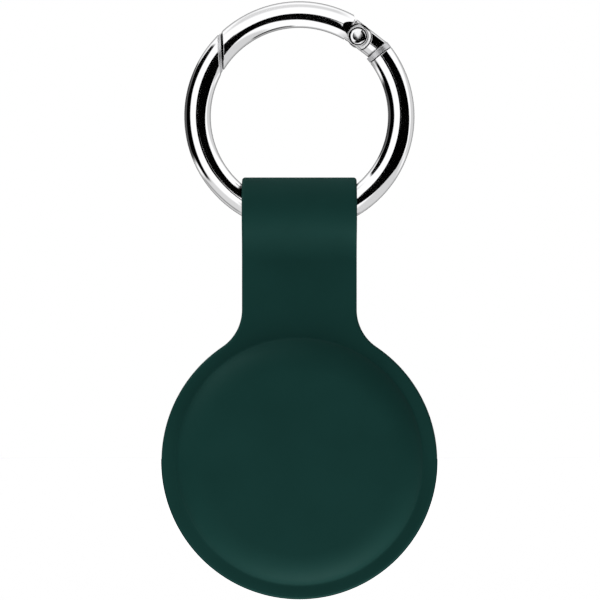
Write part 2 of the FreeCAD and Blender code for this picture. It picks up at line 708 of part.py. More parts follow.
def check(document, parts):
    """Stop if an object failed, or if a part is empty, broken or not one solid."""
    for made in document.Objects:
        if {"Invalid", "Error"} & set(made.State):
            raise RuntimeError(f"{made.Name} failed: {made.State}")
    for part in parts:
        if part.Shape.isNull() or not part.Shape.isValid():
            raise RuntimeError(f"{part.Label} has no valid shape")
        if len(part.Shape.Solids) != 1:
            raise RuntimeError(f"{part.Label} has {len(part.Shape.Solids)} solids")


def main():
    """Build every piece, check it and write it."""
    document = FreeCAD.newDocument("tag_holder")
    make_sheet(document)
    builders = (ring_frame, ring_gate, hinge_rivet, spring_plunger, gate_spring, silicone_sleeve)
    parts = [build(document) for build in builders]
    document.recompute()
    check(document, parts)
    os.makedirs("parts", exist_ok=True)
    for part in parts:
        part.Shape.exportStep(f"parts/{part.Label}.step")
        print(f"{part.Label}: {part.Shape.Volume:.2f} mm3, {len(part.Shape.Faces)} faces")


main()
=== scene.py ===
"""A silicone tag holder on a chromed spring-gate ring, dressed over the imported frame.

The sleeve is modelled here as the soft moulding that it is. The rivet with its pressed heads, the seat on the
ring's nose and the coil spring, which has to shorten, are modelled here too. The ring's frame, its gate and
the plunger keep their solids and get their plating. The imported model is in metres, +Z is up and -Y is the
front; new pieces are drawn at one unit to the millimetre and brought to metres when they are done.
"""
from __future__ import annotations

import logging
import math
from dataclasses import dataclass
from enum import Enum
from typing import Any, Callable

import bmesh
import bpy
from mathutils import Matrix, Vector

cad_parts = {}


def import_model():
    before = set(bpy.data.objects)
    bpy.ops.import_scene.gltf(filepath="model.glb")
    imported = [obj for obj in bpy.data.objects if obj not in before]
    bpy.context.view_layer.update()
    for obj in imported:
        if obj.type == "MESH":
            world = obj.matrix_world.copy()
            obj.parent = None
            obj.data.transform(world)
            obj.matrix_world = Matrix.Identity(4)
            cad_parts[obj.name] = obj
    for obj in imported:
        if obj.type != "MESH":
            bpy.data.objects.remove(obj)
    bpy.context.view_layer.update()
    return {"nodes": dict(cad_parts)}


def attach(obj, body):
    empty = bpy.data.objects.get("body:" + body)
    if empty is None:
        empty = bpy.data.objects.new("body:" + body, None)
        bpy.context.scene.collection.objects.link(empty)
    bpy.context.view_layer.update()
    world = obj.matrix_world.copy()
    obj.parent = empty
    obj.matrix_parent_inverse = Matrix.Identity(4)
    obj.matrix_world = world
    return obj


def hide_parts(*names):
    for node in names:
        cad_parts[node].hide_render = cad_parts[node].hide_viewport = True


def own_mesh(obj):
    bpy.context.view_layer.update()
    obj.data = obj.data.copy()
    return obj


Point = tuple[float, float, float]
Flat = tuple[float, float]
Test = Callable[[Vector], bool]

MM = 0.001
# How near a point has to be to count as on a face, and to be merged with another, in millimetres.
NEAR = 0.002
WELD = 0.0005
ORIGIN: Point = (0, 0, 0)
ALONG_X: Point = (1, 0, 0)
ALONG_Y: Point = (0, 1, 0)
ALONG_Z: Point = (0, 0, 1)
# A mix node's sockets go by number, because those for values and those for colours share their names.
MIX_SHARE = 0
MIX_VALUE_A = 2
MIX_VALUE_B = 3
MIX_VALUE_OUT = 0
MIX_COLOUR_A = 6
MIX_COLOUR_B = 7
MIX_COLOUR_OUT = 2
WHITE = "#FFFFFF"

log = logging.getLogger("tag_holder")


class Body(Enum):
    """The bodies of the frame that the new pieces ride on."""

    RING = "ring"
    GATE = "gate"
    HOLDER = "holder"


class Slot(Enum):
    """The record's finishes."""

    SILICONE = "silicone"
    RING_CHROME = "ring_chrome"
    RIVET_STEEL = "rivet_steel"
    INNER_STEEL = "inner_steel"


def linear(code: str) -> tuple[float, float, float, float]:
    """Turn an sRGB hex colour into the linear colour that a shader takes.

    Args:
        code: six hex digits with a leading hash.

    Returns:
        Red, green, blue and alpha.
    """
    parts = [int(code[i:i + 2], 16) / 255 for i in (1, 3, 5)]
    red, green, blue = (p / 12.92 if p <= 0.04045 else ((p + 0.055) / 1.055) ** 2.4 for p in parts)
    return red, green, blue, 1.0


def per_metre(size_mm: float) -> float:
    """Give the scale of a pattern whose cells are that many millimetres wide."""
    return 1.0 / (size_mm * MM)


def add_node(
    tree: bpy.types.NodeTree, kind: str, sockets: dict[Any, Any] | None = None, **settings: Any
) -> bpy.types.Node:
    """Add a node with its settings and links.

    Args:
        tree: the node tree of a material or of the world.
        kind: the node's type.
        sockets: values or other nodes' outputs, by input name or number.
        **settings: the node's own properties.

    Returns:
        The new node.
    """
    node = tree.nodes.new(kind)
    for name, value in settings.items():
        setattr(node, name, value)
    for socket, value in (sockets or {}).items():
        if isinstance(value, bpy.types.NodeSocket):
            tree.links.new(value, node.inputs[socket])
        else:
            node.inputs[socket].default_value = value
    return node


def new_material(name: str) -> bpy.types.Material:
    """Make an empty node material."""
    material = bpy.data.materials.new(name)
    material.use_nodes = True
    material.node_tree.nodes.clear()
    return material


def keep_from_mirrors(piece: bpy.types.Object) -> None:
    """Leave a piece out of reflections, where it would break the clear bands that the boards draw."""
    piece.visible_glossy = False


@dataclass(frozen=True)
class MouldedSilicone:
    """Pigmented silicone from a spark-eroded mould: a deep colour with next to no gloss, and a fine grain.

    The grain is drawn coarser than the real one, which would be too fine to show.
    """

    colour: str = "#12322E"
    cloudy_colour: str = "#143531"
    roughness: float = 0.52
    rougher: float = 0.62
    ior: float = 1.41
    gloss: float = 0.03
    grain_mm: float = 0.16
    grain_detail: float = 2.0
    grain_depth_mm: float = 0.004
    grain_strength: float = 0.5
    cloud_mm: float = 9.0
    cloud_detail: float = 3.0
    noise_low: float = 0.3
    noise_high: float = 0.7

    def material(self) -> bpy.types.Material:
        """Build the finish.

        Returns:
            The material, on Object coordinates.
        """
        material = new_material("moulded_silicone")
        tree = material.node_tree
        place = add_node(tree, "ShaderNodeTexCoord").outputs["Object"]
        cloud = add_node(
            tree, "ShaderNodeTexNoise",
            {"Vector": place, "Scale": per_metre(self.cloud_mm), "Detail": self.cloud_detail})
        colour = add_node(tree, "ShaderNodeValToRGB", {"Fac": cloud.outputs["Fac"]})
        deep, cloudy = colour.color_ramp.elements
        deep.position = self.noise_low
        deep.color = linear(self.colour)
        cloudy.position = self.noise_high
        cloudy.color = linear(self.cloudy_colour)
        grain = add_node(
            tree, "ShaderNodeTexNoise",
            {"Vector": place, "Scale": per_metre(self.grain_mm), "Detail": self.grain_detail}).outputs["Fac"]
        rough = add_node(
            tree, "ShaderNodeMapRange",
            {"Value": grain, "From Min": self.noise_low, "From Max": self.noise_high,
             "To Min": self.roughness, "To Max": self.rougher})
        bump = add_node(
            tree, "ShaderNodeBump",
            {"Height": grain, "Strength": self.grain_strength, "Distance": self.grain_depth_mm * MM})
        skin = add_node(
            tree, "ShaderNodeBsdfPrincipled",
            {"Base Color": colour.outputs["Color"], "Roughness": rough.outputs["Result"],
             "Normal": bump.outputs["Normal"], "IOR": self.ior, "Specular IOR Level": self.gloss})
        add_node(tree, "ShaderNodeOutputMaterial", {"Surface": skin.outputs["BSDF"]})
        return material


@dataclass(frozen=True)
class SatinBand:
    """A band round the ring's wire that was turned and not buffed, between two angles in the ring's plane."""

    start: float
    end: float
    colour: str = "#D0D0D2"
    roughness: float = 0.38
    fade: float = 0.12

    def mask(self, tree: bpy.types.NodeTree, place: bpy.types.NodeSocket) -> bpy.types.NodeSocket:
        """Tell what lies in the band.

        Args:
            tree: the nodes of the finish.
            place: the place on the piece, in Object coordinates.

        Returns:
            1 in the band and 0 outside it.
        """
        middle = math.radians((self.start + self.end) / 2)
        half = math.radians((self.end - self.start) / 2)
        parts = add_node(tree, "ShaderNodeSeparateXYZ", {0: place}).outputs
        angle = add_node(tree, "ShaderNodeMath", {0: parts["Z"], 1: parts["X"]}, operation="ARCTAN2")
        away = add_node(tree, "ShaderNodeMath", {0: angle.outputs["Value"], 1: middle}, operation="SUBTRACT")
        size = add_node(tree, "ShaderNodeMath", {0: away.outputs["Value"]}, operation="ABSOLUTE")
        return add_node(
            tree, "ShaderNodeMapRange",
            {"Value": size.outputs["Value"], "From Min": half - math.radians(self.fade), "From Max": half,
             "To Min": 1.0, "To Max": 0.0}).outputs["Result"]


@dataclass(frozen=True)
class PolishedMetal:
    """Metal that was cut or buffed after casting or turning, with the faint unevenness that this leaves.

    In grooves, creases and gaps between parts the colour darkens towards a near black. This is partly
    polishing dirt and partly painted shade, from ambient occlusion within a short reach.
    """

    name: str
    colour: str
    roughness: float
    rougher: float
    smear_mm: float = 2.5
    smear_detail: float = 4.0
    smear_low: float = 0.35
    smear_high: float = 0.7
    ripple_mm: float = 1.2
    ripple_detail: float = 1.0
    ripple_depth_mm: float = 0.0006
    ripple_strength: float = 0.5
    edge_mm: float = 0.09
    # Painted shade and polishing dirt in hollows: the dark colour, the reach of the occlusion probe, and the
    # occlusion levels for full darkening and for none.
    dirt_and_shade_colour: str = "#161618"
    shade_reach_mm: float = 0.4
    fully_shaded_ao: float = 0.62
    unshaded_ao: float = 0.94
    probes: int = 8
    band: SatinBand | None = None

    def material(self) -> bpy.types.Material:
        """Build the finish.

        Returns:
            The material, on Object coordinates.
        """
        material = new_material(self.name)
        tree = material.node_tree
        place = add_node(tree, "ShaderNodeTexCoord").outputs["Object"]
        smear = add_node(
            tree, "ShaderNodeTexNoise",
            {"Vector": place, "Scale": per_metre(self.smear_mm), "Detail": self.smear_detail})
        rough = add_node(
            tree, "ShaderNodeMapRange",
            {"Value": smear.outputs["Fac"], "From Min": self.smear_low, "From Max": self.smear_high,
             "To Min": self.roughness, "To Max": self.rougher})
        ripple = add_node(
            tree, "ShaderNodeTexNoise",
            {"Vector": place, "Scale": per_metre(self.ripple_mm), "Detail": self.ripple_detail})
        edge = add_node(tree, "ShaderNodeBevel", {"Radius": self.edge_mm * MM}, samples=self.probes)
        bump = add_node(
            tree, "ShaderNodeBump",
            {"Height": ripple.outputs["Fac"], "Strength": self.ripple_strength,
             "Distance": self.ripple_depth_mm * MM, "Normal": edge.outputs["Normal"]})
        tint: Any = linear(self.colour)
        gloss: Any = rough.outputs["Result"]
        if self.band:
            inside = self.band.mask(tree, place)
            tint = add_node(
                tree, "ShaderNodeMix",
                {MIX_SHARE: inside, MIX_COLOUR_A: tint, MIX_COLOUR_B: linear(self.band.colour)},
                data_type="RGBA").outputs[MIX_COLOUR_OUT]
            gloss = add_node(
                tree, "ShaderNodeMix",
                {MIX_SHARE: inside, MIX_VALUE_A: gloss, MIX_VALUE_B: self.band.roughness},
                data_type="FLOAT").outputs[MIX_VALUE_OUT]
        # Painted shade, partly polishing dirt: the base colour turns towards a near black wherever ambient
        # occlusion finds other surfaces close by, in grooves, creases and gaps between parts.
        groove = add_node(
            tree, "ShaderNodeAmbientOcclusion", {"Distance": self.shade_reach_mm * MM}, samples=self.probes)
        unshaded = add_node(
            tree, "ShaderNodeMapRange",
            {"Value": groove.outputs["AO"], "From Min": self.fully_shaded_ao, "From Max": self.unshaded_ao})
        shade_and_dirt = linear(self.dirt_and_shade_colour)
        colour = add_node(
            tree, "ShaderNodeMix",
            {MIX_SHARE: unshaded.outputs["Result"], MIX_COLOUR_A: shade_and_dirt, MIX_COLOUR_B: tint},
            data_type="RGBA").outputs[MIX_COLOUR_OUT]
        plating = add_node(
            tree, "ShaderNodeBsdfPrincipled",
            {"Base Color": colour, "Metallic": 1.0, "Roughness": gloss, "Normal": bump.outputs["Normal"]})
        add_node(tree, "ShaderNodeOutputMaterial", {"Surface": plating.outputs["BSDF"]})
        return material


# The collar by the hinge was left as it was turned, so it breaks the mirror with a grey band.
HINGE_COLLAR = SatinBand(start=37.1, end=40.4)
# Nickel-chrome plating: nearly white, so that it shows whatever stands round it.
RING_CHROME = PolishedMetal("ring_chrome_plating", "#F6F6F7", roughness=0.03, rougher=0.06, band=HINGE_COLLAR)
# The seat at the nose was milled and not buffed, so it stays grey between the mirrors on both sides of it.
SEAT_CHROME = PolishedMetal("milled_seat_chrome", "#C8C8CA", roughness=0.4, rougher=0.46)
# The rivet was headed after plating: its steel is a shade darker and less even.
RIVET_STEEL = PolishedMetal("headed_rivet_steel", "#F2F2F3", roughness=0.04, rougher=0.08, smear_mm=0.6)
# Drawn wire and a turned pin that nobody polishes: grey, with soft highlights.
INNER_STEEL = PolishedMetal("drawn_spring_steel", "#C9CACB", roughness=0.22, rougher=0.36, smear_mm=0.4)


class Blank:
    """A mesh under the modeller's hands: drawn in millimetres from a point, then shaped in edit mode."""

    def __init__(self, name: str, start: Point) -> None:
        """Put one point where the drawing starts.

        Args:
            name: the object's name.
            start: the place of the point.
        """
        bpy.ops.object.select_all(action="DESELECT")
        bpy.ops.mesh.primitive_plane_add(size=1.0)
        self.thing: bpy.types.Object = bpy.context.object
        self.thing.name = name
        bpy.ops.object.mode_set(mode="EDIT")
        bpy.ops.mesh.select_mode(type="VERT")
        bpy.ops.mesh.select_all(action="SELECT")
        bpy.ops.mesh.merge(type="CENTER")
        bpy.ops.transform.translate(value=start)

    def line(self, step: Point) -> None:
        """Draw a straight run from the last point."""
        bpy.ops.mesh.extrude_vertices_move(TRANSFORM_OT_translate={"value": step})

    def arc(self, centre: Point, axis: Point, degrees: float, steps: int) -> None:
        """Draw an arc from the last point, or sweep the selected outline, right-handed about the axis.

        Args:
            centre: the arc's centre.
            axis: the line that it turns about.
            degrees: how far it turns.
            steps: its number of runs.
        """
        bpy.ops.mesh.spin(steps=steps, angle=-math.radians(degrees), center=centre, axis=axis)

    def close(self) -> None:
        """Make a face of the whole outline."""
        bpy.ops.mesh.select_all(action="SELECT")
        bpy.ops.mesh.edge_face_add()

    def extrude(self, step: Point) -> None:
        """Pull the selected face out into a block."""
        bpy.ops.mesh.extrude_region_move(TRANSFORM_OT_translate={"value": step})

    def revolve(self, centre: Point, axis: Point, steps: int) -> None:
        """Turn the whole outline once round the axis and weld the seam and the poles."""
        bpy.ops.mesh.select_all(action="SELECT")
        bpy.ops.mesh.spin(steps=steps, angle=math.tau, center=centre, axis=axis)
        self.weld()

    def weld(self) -> None:
        """Merge the points that fall together."""
        bpy.ops.mesh.select_all(action="SELECT")
        bpy.ops.mesh.remove_doubles(threshold=WELD)

    def pick_edges(self, test: Test, only_open: bool = False) -> None:
        """Select the edges whose middles pass a test of their place.

        Args:
            test: what a middle has to pass.
            only_open: whether only the edges of holes are wanted.
        """
        bpy.ops.mesh.select_all(action="DESELECT")
        bpy.ops.mesh.select_mode(type="EDGE")
        mesh = bmesh.from_edit_mesh(self.thing.data)
        for edge in mesh.edges:
            middle = (edge.verts[0].co + edge.verts[1].co) / 2
            edge.select_set(test(middle) and (edge.is_boundary or not only_open))
        bmesh.update_edit_mesh(self.thing.data)

    def round_edges(self, test: Test, offset: float, segments: int) -> None:
        """Round the edges whose middles pass the test."""
        self.pick_edges(test)
        bpy.ops.mesh.bevel(offset=offset, offset_type="OFFSET", segments=segments, affect="EDGES")

    def open_faces(self, test: Test) -> None:
        """Take out the faces whose points all pass the test, and leave their edges."""
        bpy.ops.mesh.select_all(action="DESELECT")
        bpy.ops.mesh.select_mode(type="FACE")
        mesh = bmesh.from_edit_mesh(self.thing.data)
        for face in mesh.faces:
            face.select_set(all(test(v.co) for v in face.verts))
        bmesh.update_edit_mesh(self.thing.data)
        bpy.ops.mesh.delete(type="ONLY_FACE")

    def fill_hole(self, test: Test) -> None:
        """Fill the flat gap between the open edges whose middles pass the test."""
        self.pick_edges(test, only_open=True)
        bpy.ops.mesh.fill(use_beauty=True)

    def cut_off(self, place: Vector, outward: Vector) -> None:
        """Cut the whole mesh at a plane, drop what lies beyond it and fill the cut if it runs all round."""
        bpy.ops.mesh.select_all(action="SELECT")
        bpy.ops.mesh.bisect(plane_co=place, plane_no=outward, use_fill=True, clear_outer=True)

    def put_down(self) -> bpy.types.Object:
        """Leave edit mode.

        Returns:
            The object.
        """
        bpy.ops.mesh.select_mode(type="VERT")
        bpy.ops.object.mode_set(mode="OBJECT")
        return self.thing

    def finish(self, material: bpy.types.Material, smooth_angle: float) -> bpy.types.Object:
        """Turn the faces outwards, bring the mesh to metres, shade it smooth and give it its finish.

        Args:
            material: the finish.
            smooth_angle: edges sharper than this many degrees stay sharp.

        Returns:
            The finished piece.
        """
        bpy.ops.mesh.select_all(action="SELECT")
        bpy.ops.mesh.normals_make_consistent(inside=False)
        bpy.ops.transform.resize(value=(MM, MM, MM), center_override=ORIGIN)
        piece = self.put_down()
        bpy.ops.object.select_all(action="DESELECT")
        piece.select_set(True)
        bpy.context.view_layer.objects.active = piece
        bpy.ops.object.shade_smooth_by_angle(angle=math.radians(smooth_angle))
        piece.data.name = piece.name
        piece.data.materials.clear()
        piece.data.materials.append(material)
        return piece


def tangent_arc(start: Flat, inward: Flat, end: Flat) -> tuple[Flat, float]:
    """Find the arc that leaves a point square to a direction and ends in another point.

    Args:
        start: where the arc begins.
        inward: a unit direction from there towards the arc's centre.
        end: where the arc ends.

    Returns:
        The centre, and the turn in degrees, positive from the first axis to the second.
    """
    run = (end[0] - start[0], end[1] - start[1])
    radius = (run[0] ** 2 + run[1] ** 2) / (2 * (run[0] * inward[0] + run[1] * inward[1]))
    centre = (start[0] + radius * inward[0], start[1] + radius * inward[1])
    first = math.atan2(start[1] - centre[1], start[0] - centre[0])
    last = math.atan2(end[1] - centre[1], end[0] - centre[0])
    turn = (last - first + math.pi) % math.tau - math.pi
    return centre, math.degrees(turn)


@dataclass
class Sleeve:
    """The silicone sleeve: a round pocket with a domed front, a flat neck, and a loop for the ring.

    All sizes are in millimetres in the frame's axes.
    """

    disc_z: float = -50.08
    plate_half: float = 2.1
    border_round: float = 0.45
    neck_half: float = 8.325
    flare_radius: float = 6.5
    join_z: float = -28.114
    barrel_z: float = -13.875
    barrel_radius: float = 4.995
    tunnel_z: float = -13.424985
    tunnel_radius: float = 3.445
    mouth_round: float = 0.6
    blend_radius: float = 5.5
    dome_foot: float = 17.95
    dome_skirt: float = 18.6
    foot_play: float = 0.02
    crown_radius: float = 13.2
    crown_edge: float = 5.2
    crown_top: float = 5.5
    crease_round: float = 0.3
    back_face: float = 5.3
    back_edge: float = 14.15
    lip_radius: float = 13.125
    lip_round: float = 0.625
    pocket_radius: float = 16.0
    pocket_half: float = 4.05
    pocket_corner: float = 2.6
    flare_steps: int = 18
    disc_steps: int = 190
    border_steps: int = 6
    blend_steps: int = 12
    barrel_steps: int = 84
    mouth_steps: int = 6
    tunnel_steps: int = 96
    front_steps: int = 16
    crown_steps: int = 10
    back_steps: int = 14
    lip_steps: int = 14
    corner_steps: int = 10
    crease_steps: int = 4
    turn_steps: int = 224
    smooth_angle: float = 40.0
    flat_weight: int = 75

    def build(self, skin: bpy.types.Material) -> bpy.types.Object:
        """Model the sleeve as one closed skin.

        Args:
            skin: the silicone's finish.

        Returns:
            The finished piece, in metres.
        """
        whole = self.plate()
        sheets = (whole, self.strap(), self.tunnel(), self.front(), self.back())
        bpy.ops.object.select_all(action="DESELECT")
        for sheet in sheets:
            sheet.thing.select_set(True)
        bpy.context.view_layer.objects.active = whole.thing
        bpy.ops.object.join()
        bpy.ops.object.mode_set(mode="EDIT")
        whole.weld()
        for side in (-1, 1):
            whole.fill_hole(lambda p, y=side * self.plate_half: abs(p.y - y) < NEAR)
            whole.fill_hole(lambda p, x=side * self.neck_half: abs(p.x - x) < NEAR)
        self.check_closed(whole.thing)
        piece = whole.finish(skin, self.smooth_angle)
        weighted = piece.modifiers.new("weighted", "WEIGHTED_NORMAL")
        weighted.weight = self.flat_weight
        weighted.keep_sharp = True
        bpy.ops.object.modifier_apply(modifier=weighted.name)
        keep_from_mirrors(piece)
        return piece

    def plate(self) -> Blank:
        """Draw the flat plate of disc and flares up to the neck, with a rounded border and open faces."""
        half, z = self.plate_half, self.join_z
        flare_x = self.neck_half + self.flare_radius
        flare = math.degrees(math.atan2(z - self.disc_z, flare_x))
        disc_turn = 360 - 2 * (90 - flare)
        plate = Blank("moulded_sleeve", (-self.neck_half, -half, z))
        plate.arc((-flare_x, -half, z), ALONG_Y, flare, self.flare_steps)
        plate.arc((0, -half, self.disc_z), ALONG_Y, -disc_turn, self.disc_steps)
        plate.arc((flare_x, -half, z), ALONG_Y, flare, self.flare_steps)
        plate.close()
        plate.extrude((0, 2 * half, 0))
        for y in (-half, half):
            plate.round_edges(
                lambda p, y=y: abs(p.y - y) < NEAR and p.z < z - NEAR, self.border_round, self.border_steps)
        plate.open_faces(lambda p: abs(p.z - z) < NEAR)
        for y in (-half, half):
            plate.open_faces(lambda p, y=y: abs(p.y - y) < NEAR)
        plate.put_down()
        return plate

    def strap(self) -> Blank:
        """Draw the neck and the barrel of the loop in the side view and pull them out to the neck's width."""
        half, width, z = self.plate_half, self.neck_half, self.join_z
        away = half + self.blend_radius
        reach = self.barrel_radius + self.blend_radius
        blend_z = self.barrel_z - math.sqrt(reach ** 2 - away ** 2)
        blend = 90 - math.degrees(math.asin(away / reach))
        strap = Blank("sleeve_strap", (-width, half, z))
        strap.line((0, 0, blend_z - z))
        strap.arc((-width, away, blend_z), ALONG_X, -blend, self.blend_steps)
        strap.arc((-width, 0, self.barrel_z), ALONG_X, 180 + 2 * blend, self.barrel_steps)
        strap.arc((-width, -away, blend_z), ALONG_X, -blend, self.blend_steps)
        strap.line((0, 0, z - blend_z))
        strap.close()
        strap.extrude((2 * width, 0, 0))
        for x in (-width, width):
            strap.round_edges(
                lambda p, x=x: abs(p.x - x) < NEAR and p.z > z + NEAR, self.border_round, self.border_steps)
        strap.open_faces(lambda p: abs(p.z - z) < NEAR)
        for x in (-width, width):
            strap.open_faces(lambda p, x=x: abs(p.x - x) < NEAR)
        strap.put_down()
        return strap

    def tunnel(self) -> Blank:
        """Turn the loop's bore with its rounded mouths."""
        width, turn = self.neck_half, self.mouth_round
        mouth_z = self.tunnel_z + self.tunnel_radius + turn
        bore = Blank("sleeve_tunnel", (-width, 0, mouth_z))
        bore.arc((-width + turn, 0, mouth_z), ALONG_Y, -90, self.mouth_steps)
        bore.line((2 * (width - turn), 0, 0))
        bore.arc((width - turn, 0, mouth_z), ALONG_Y, -90, self.mouth_steps)
        bore.revolve((0, 0, self.tunnel_z), ALONG_X, self.tunnel_steps)
        bore.put_down()
        return bore

    def front(self) -> Blank:
        """Turn the domed front: a skirt on the plate, a shoulder, and a crown that is almost flat."""
        rise = self.crown_top - self.crown_edge
        crown = (self.crown_radius ** 2 + rise ** 2) / (2 * rise)
        lean = math.asin(self.crown_radius / crown)
        foot, edge = (self.dome_foot, -self.plate_half), (self.crown_radius, -self.crown_edge)
        centre, turn = tangent_arc(edge, (-math.sin(lean), math.cos(lean)), foot)
        dome = Blank("sleeve_front", (self.dome_skirt, foot[1], self.disc_z))
        dome.line((self.dome_foot - self.dome_skirt, 0, 0))
        dome.arc((centre[0], centre[1], self.disc_z), ALONG_Z, -turn, self.front_steps)
        dome.arc((0, crown - self.crown_top, self.disc_z), ALONG_Z, -math.degrees(lean), self.crown_steps)
        dome.revolve((0, 0, self.disc_z), ALONG_Y, self.turn_steps)
        self.round_crease(dome, foot[1], turn)
        dome.put_down()
        return dome

    def back(self) -> Blank:
        """Turn the back: a skirt, a shoulder, a flat border, the rolled lip of the mouth, and the pocket."""
        foot, edge = (self.dome_foot, self.plate_half), (self.back_edge, self.back_face)
        centre, turn = tangent_arc(edge, (0, -1), foot)
        lip_y = self.back_face - self.lip_round
        corner_r = self.pocket_radius - self.pocket_corner
        corner_y = self.pocket_half - self.pocket_corner
        back = Blank("sleeve_back", (self.dome_skirt, foot[1], self.disc_z))
        back.line((self.dome_foot - self.dome_skirt, 0, 0))
        back.arc((centre[0], centre[1], self.disc_z), ALONG_Z, -turn, self.back_steps)
        back.line((self.lip_radius - self.back_edge, 0, 0))
        back.arc((self.lip_radius, lip_y, self.disc_z), ALONG_Z, 180, self.lip_steps)
        back.line((corner_r - self.lip_radius, 0, 0))
        back.arc((corner_r, corner_y, self.disc_z), ALONG_Z, -90, self.corner_steps)
        back.line((0, -2 * corner_y, 0))
        back.arc((corner_r, -corner_y, self.disc_z), ALONG_Z, -90, self.corner_steps)
        back.line((-corner_r, 0, 0))
        back.revolve((0, 0, self.disc_z), ALONG_Y, self.turn_steps)
        self.round_crease(back, foot[1], turn)
        back.put_down()
        return back

    def round_crease(self, blank: Blank, y: float, turn: float) -> None:
        """Round the inner corner where a dome meets the plate.

        Args:
            blank: the turned dome.
            y: the plate's face.
            turn: the shoulder's turn, which gives the corner's slope.
        """
        offset = self.crease_round * math.tan(math.radians(abs(turn)) / 2)

        def on_crease(p: Vector) -> bool:
            """Tell whether a point lies on the dome's foot."""
            away = abs(math.hypot(p.x, p.z - self.disc_z) - self.dome_foot)
            return abs(p.y - y) < NEAR and away < self.foot_play

        blank.round_edges(on_crease, offset, self.crease_steps)

    @staticmethod
    def check_closed(thing: bpy.types.Object) -> None:
        """Stop if the skin has a gap or a fold."""
        mesh = bmesh.from_edit_mesh(thing.data)
        loose = sum(not edge.is_manifold for edge in mesh.edges)
        if loose:
            raise RuntimeError(f"the sleeve's skin is open at {loose} edges")


@dataclass
class Rivet:
    """The rivet of the hinge: a shank and two pressed heads, each a button with a groove and a thin rim.

    All sizes are in millimetres; its axis runs along Y.
    """

    x: float = 8.500726
    z: float = 11.530104
    shank_radius: float = 0.7
    head_radius: float = 1.45
    ear_face: float = 1.58
    top: float = 1.9
    flat_radius: float = 0.7
    button_radius: float = 1.24
    groove: float = 0.06
    floor: float = 0.04
    rim: float = 0.2
    rim_round: float = 0.05
    button_steps: int = 14
    rim_steps: int = 4
    turn_steps: int = 72
    smooth_angle: float = 35.0

    def build(self, steel: bpy.types.Material) -> bpy.types.Object:
        """Turn the rivet.

        Args:
            steel: the rivet's finish.

        Returns:
            The finished piece, in metres.
        """
        x, z, shank, head, ear = self.x, self.z, self.shank_radius, self.head_radius, self.ear_face
        flat, foot, turn, rim = self.flat_radius, self.button_radius, self.rim_round, ear + self.rim
        border, fall = tangent_arc((flat, self.top), (0, -1), (foot, ear + self.floor))
        inner, wall = foot + self.groove + turn, self.rim - self.floor - turn
        rivet = Blank("headed_rivet", (x, -self.top, z))
        rivet.line((flat, 0, 0))
        rivet.arc((x + border[0], -border[1], z), ALONG_Z, -fall, self.button_steps)
        rivet.line((self.groove, 0, 0))
        rivet.line((0, -wall, 0))
        rivet.arc((x + inner, turn - rim, z), ALONG_Z, 90, self.rim_steps)
        rivet.line((head - turn - inner, 0, 0))
        rivet.arc((x + head - turn, turn - rim, z), ALONG_Z, 90, self.rim_steps)
        rivet.line((0, rim - turn - ear, 0))
        rivet.line((shank - head, 0, 0))
        rivet.line((0, 2 * ear, 0))
        rivet.line((head - shank, 0, 0))
        rivet.line((0, rim - turn - ear, 0))
        rivet.arc((x + head - turn, rim - turn, z), ALONG_Z, 90, self.rim_steps)
        rivet.line((inner - head + turn, 0, 0))
        rivet.arc((x + inner, rim - turn, z), ALONG_Z, 90, self.rim_steps)
        rivet.line((0, -wall, 0))
        rivet.line((-self.groove, 0, 0))
        rivet.arc((x + border[0], border[1], z), ALONG_Z, -fall, self.button_steps)
        rivet.line((-flat, 0, 0))
        rivet.revolve((x, 0, z), ALONG_Y, self.turn_steps)
        return rivet.finish(steel, self.smooth_angle)


@dataclass
class NoseSeat:
    """The milled seat on the ring's nose that the gate closes on.

    All sizes are in millimetres; the angles are in the ring's plane.
    """

    ring_radius: float = 14.825
    seat_radius: float = 1.84
    angle: float = 140.2
    lean: float = 93.0
    behind: float = 0.43
    ahead: float = 0.06
    reach: float = 12.0
    sweep_steps: int = 40
    wire_steps: int = 48
    smooth_angle: float = 40.0

    def build(self, chrome: bpy.types.Material) -> bpy.types.Object:
        """Sweep a length of the wire and cut it to the seat with two slanted planes.

        Args:
            chrome: the seat's finish.

        Returns:
            The finished piece, in metres.
        """
        first = self.direction(self.angle - self.reach)
        seat = Blank("nose_seat", tuple(first * (self.ring_radius + self.seat_radius)))
        seat.arc(tuple(first * self.ring_radius), (-first.z, 0, first.x), 360, self.wire_steps)
        seat.weld()
        seat.arc(ORIGIN, ALONG_Y, -2 * self.reach, self.sweep_steps)
        nose = self.direction(self.angle) * self.ring_radius
        for outward, depth in (
                (self.direction(self.lean + 90), self.behind), (self.direction(self.lean - 90), self.ahead)):
            seat.cut_off(nose + outward * depth, outward)
        piece = seat.finish(chrome, self.smooth_angle)
        keep_from_mirrors(piece)
        return piece

    @staticmethod
    def direction(degrees: float) -> Vector:
        """Give the direction at an angle in the ring's plane, from X towards Z."""
        return Vector((math.cos(math.radians(degrees)), 0, math.sin(math.radians(degrees))))


